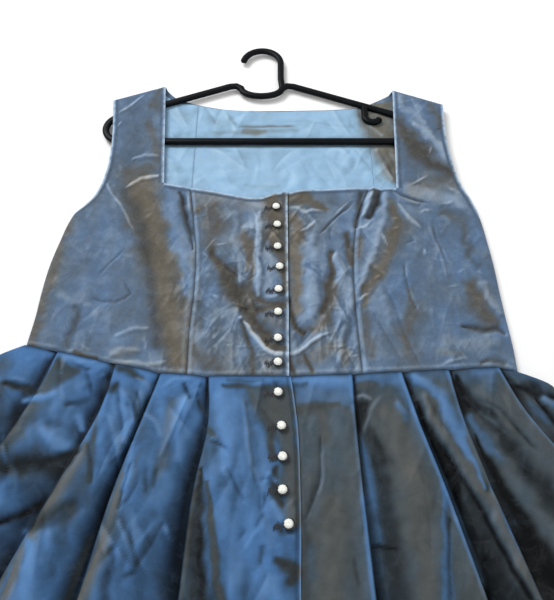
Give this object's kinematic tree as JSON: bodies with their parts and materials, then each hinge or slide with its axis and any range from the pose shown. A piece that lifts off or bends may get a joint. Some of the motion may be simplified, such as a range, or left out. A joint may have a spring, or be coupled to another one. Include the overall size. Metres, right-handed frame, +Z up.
{
  "type": "dirndl dress on a hanger",
  "caption": "Sleeveless button-front dress laid flat, with a fitted velvet bodice, wide straps, a knife-pleated taffeta skirt and a plastic hanger in its shoulders.",
  "frame": {"origin": "on the surface the dress lies on, under the middle of the whole object's box", "axes": "+Z up from that surface through the back and then the front, +Y from hem to shoulders, +X to the viewer's right of the front"},
  "size_m": [1.2012, 1.1687, 0.029],
  "materials": {
    "velvet": "crushed cotton velvet, changing between blue-grey and taupe with the nap",
    "taffeta": "shot taffeta, blue across grey-brown, crisp and slightly shiny",
    "lining": "plain light blue lining",
    "black_plastic": "moulded, satin black",
    "crystal": "clear white faceted stone in a dark metal cup"
  },
  "bodies": {
    "root": {"back_centre": "velvet", "back_side_left": "velvet", "back_side_right": "velvet", "lining_centre": "lining", "lining_side_left": "lining", "lining_side_right": "lining", "hanger": "black_plastic", "scarf_hook_left": "black_plastic", "scarf_hook_right": "black_plastic", "front_centre_left": "velvet", "front_centre_right": "velvet", "front_side_left": "velvet", "front_side_right": "velvet", "skirt_front_left": "taffeta", "skirt_front_right": "taffeta", "skirt_back": "taffeta", "button_01": "crystal", "button_02": "crystal", "button_03": "crystal", "button_04": "crystal", "button_05": "crystal", "button_06": "crystal", "button_07": "crystal", "button_08": "crystal", "button_09": "crystal", "button_10": "crystal", "button_11": "crystal", "button_12": "crystal", "button_13": "crystal"}
  },
  "joints": []
}
